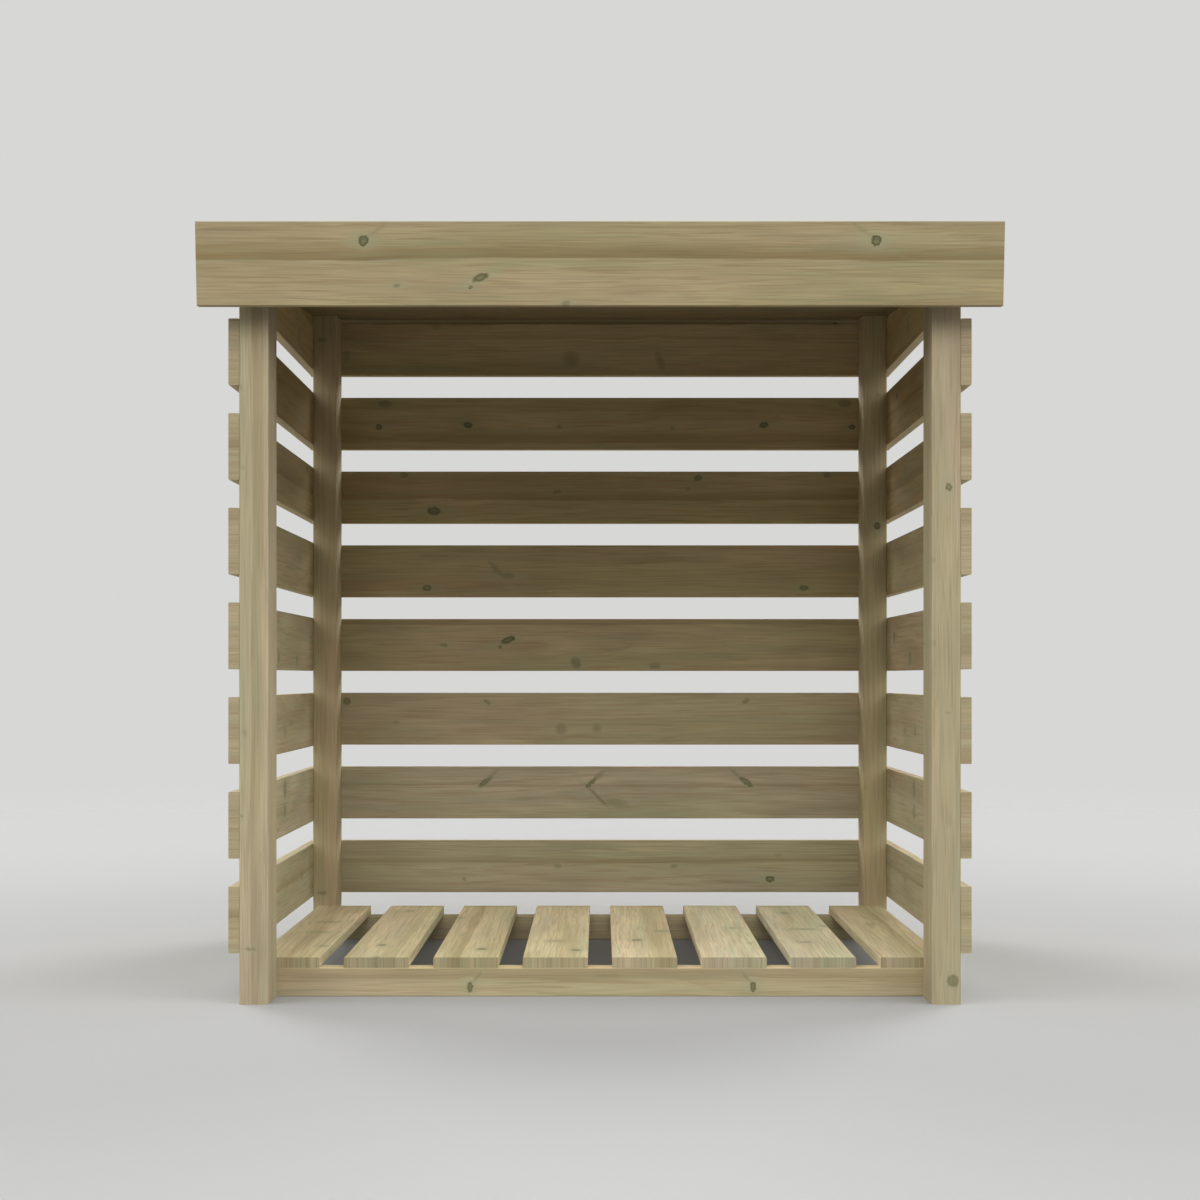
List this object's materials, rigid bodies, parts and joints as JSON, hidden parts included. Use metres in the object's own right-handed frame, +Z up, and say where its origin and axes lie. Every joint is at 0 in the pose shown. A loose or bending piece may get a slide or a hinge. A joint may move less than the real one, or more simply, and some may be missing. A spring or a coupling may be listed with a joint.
{
  "type": "log store",
  "caption": "Open-fronted slatted log store in pressure-treated softwood, with a raised slatted floor and a boarded pent roof that falls to a front fascia.",
  "frame": {"origin": "on the ground, at the middle of the whole store's width and depth", "axes": "+X to the right seen from the open front, +Y to the back wall, +Z up"},
  "size_m": [1.19, 0.8976, 1.2458],
  "materials": {
    "timber": "planed pressure-treated softwood, matt"
  },
  "bodies": {
    "root": {"back_board_1": "timber", "back_board_2": "timber", "back_board_3": "timber", "back_board_4": "timber", "back_board_5": "timber", "back_board_6": "timber", "back_board_7": "timber", "back_board_8": "timber", "back_post_left": "timber", "back_post_right": "timber", "floor_slat_1": "timber", "floor_slat_2": "timber", "floor_slat_3": "timber", "floor_slat_4": "timber", "floor_slat_5": "timber", "floor_slat_6": "timber", "floor_slat_7": "timber", "floor_slat_8": "timber", "front_bearer": "timber", "front_fascia": "timber", "front_post_left": "timber", "front_post_right": "timber", "left_board_1": "timber", "left_board_2": "timber", "left_board_3": "timber", "left_board_4": "timber", "left_board_5": "timber", "left_board_6": "timber", "left_board_7": "timber", "left_board_8": "timber", "rafter_left": "timber", "rafter_middle": "timber", "rafter_right": "timber", "rear_bearer": "timber", "rear_fascia": "timber", "right_board_1": "timber", "right_board_2": "timber", "right_board_3": "timber", "right_board_4": "timber", "right_board_5": "timber", "right_board_6": "timber", "right_board_7": "timber", "right_board_8": "timber", "roof_boards": "timber", "soffit_boards": "timber"}
  },
  "joints": []
}
